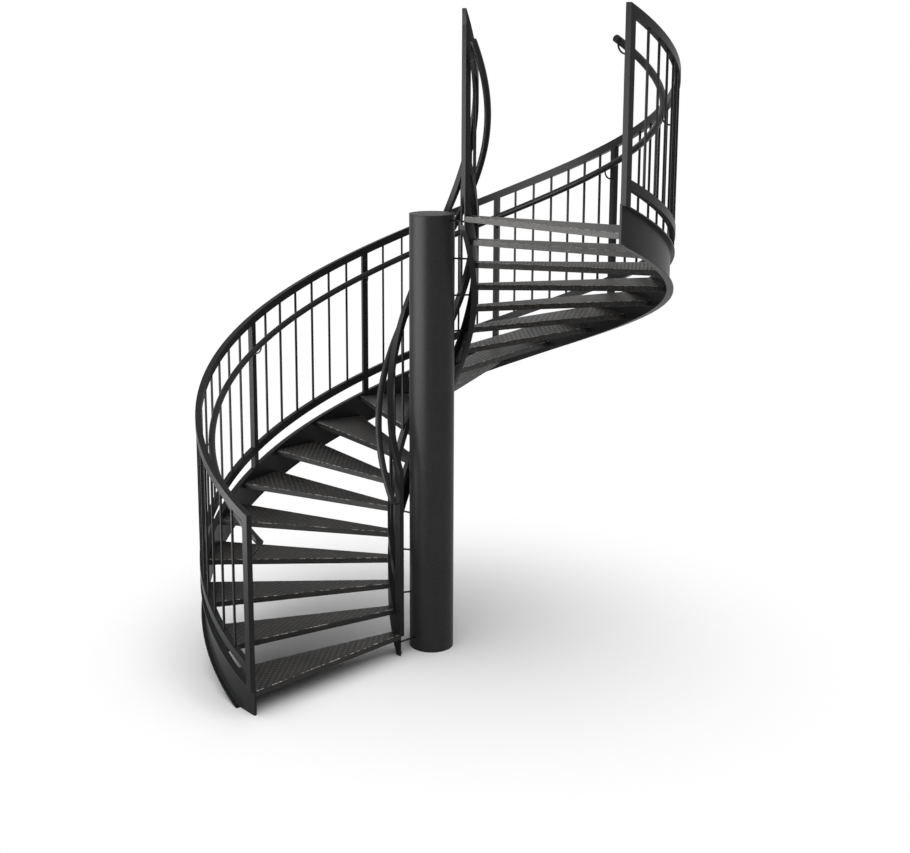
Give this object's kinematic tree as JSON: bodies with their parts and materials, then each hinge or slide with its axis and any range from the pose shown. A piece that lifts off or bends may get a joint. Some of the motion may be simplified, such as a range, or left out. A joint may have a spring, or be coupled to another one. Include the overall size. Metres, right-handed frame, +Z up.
{
  "type": "steel spiral staircase",
  "caption": "Open spiral staircase: round column, wedge treads between two helical channel stringers, barred railings and round handrails on both sides.",
  "frame": {"origin": "centre of the column's foot, on the floor", "axes": "+Z up the column; -X along the first nosing, where the stair is entered facing +Y; the flight climbs clockwise seen from above and is left over the -Y axis facing -X"},
  "size_m": [3.378, 3.378, 4.627],
  "materials": {
    "column_paint": "satin dark grey paint on a steel pipe",
    "frame_paint": "satin dark grey paint on steel sections",
    "handrail_paint": "satin dark grey paint on a round tube",
    "tread_plate": "dark brownish paint on chequered plate, worn bare along the folded edges"
  },
  "bodies": {
    "root": {"column_tube": "column_paint", "column_cap": "column_paint", "column_base_plate": "column_paint", "tread_01": "tread_plate", "tread_02": "tread_plate", "tread_03": "tread_plate", "tread_04": "tread_plate", "tread_05": "tread_plate", "tread_06": "tread_plate", "tread_07": "tread_plate", "tread_08": "tread_plate", "tread_09": "tread_plate", "tread_10": "tread_plate", "tread_11": "tread_plate", "tread_12": "tread_plate", "tread_13": "tread_plate", "tread_14": "tread_plate", "tread_15": "tread_plate", "tread_16": "tread_plate", "tread_17": "tread_plate", "tread_18": "tread_plate", "tread_19": "tread_plate", "outer_stringer": "frame_paint", "inner_stringer": "frame_paint", "tie_rods": "frame_paint", "outer_top_rail": "frame_paint", "outer_posts": "frame_paint", "outer_panel_1": "frame_paint", "outer_panel_2": "frame_paint", "outer_panel_3": "frame_paint", "outer_panel_4": "frame_paint", "outer_panel_5": "frame_paint", "outer_panel_6": "frame_paint", "outer_panel_7": "frame_paint", "outer_handrail": "handrail_paint", "outer_handrail_brackets": "handrail_paint", "inner_top_rail": "frame_paint", "inner_posts": "frame_paint", "inner_panel_1": "frame_paint", "inner_panel_2": "frame_paint", "inner_handrail": "handrail_paint", "inner_handrail_brackets": "handrail_paint"}
  },
  "joints": []
}
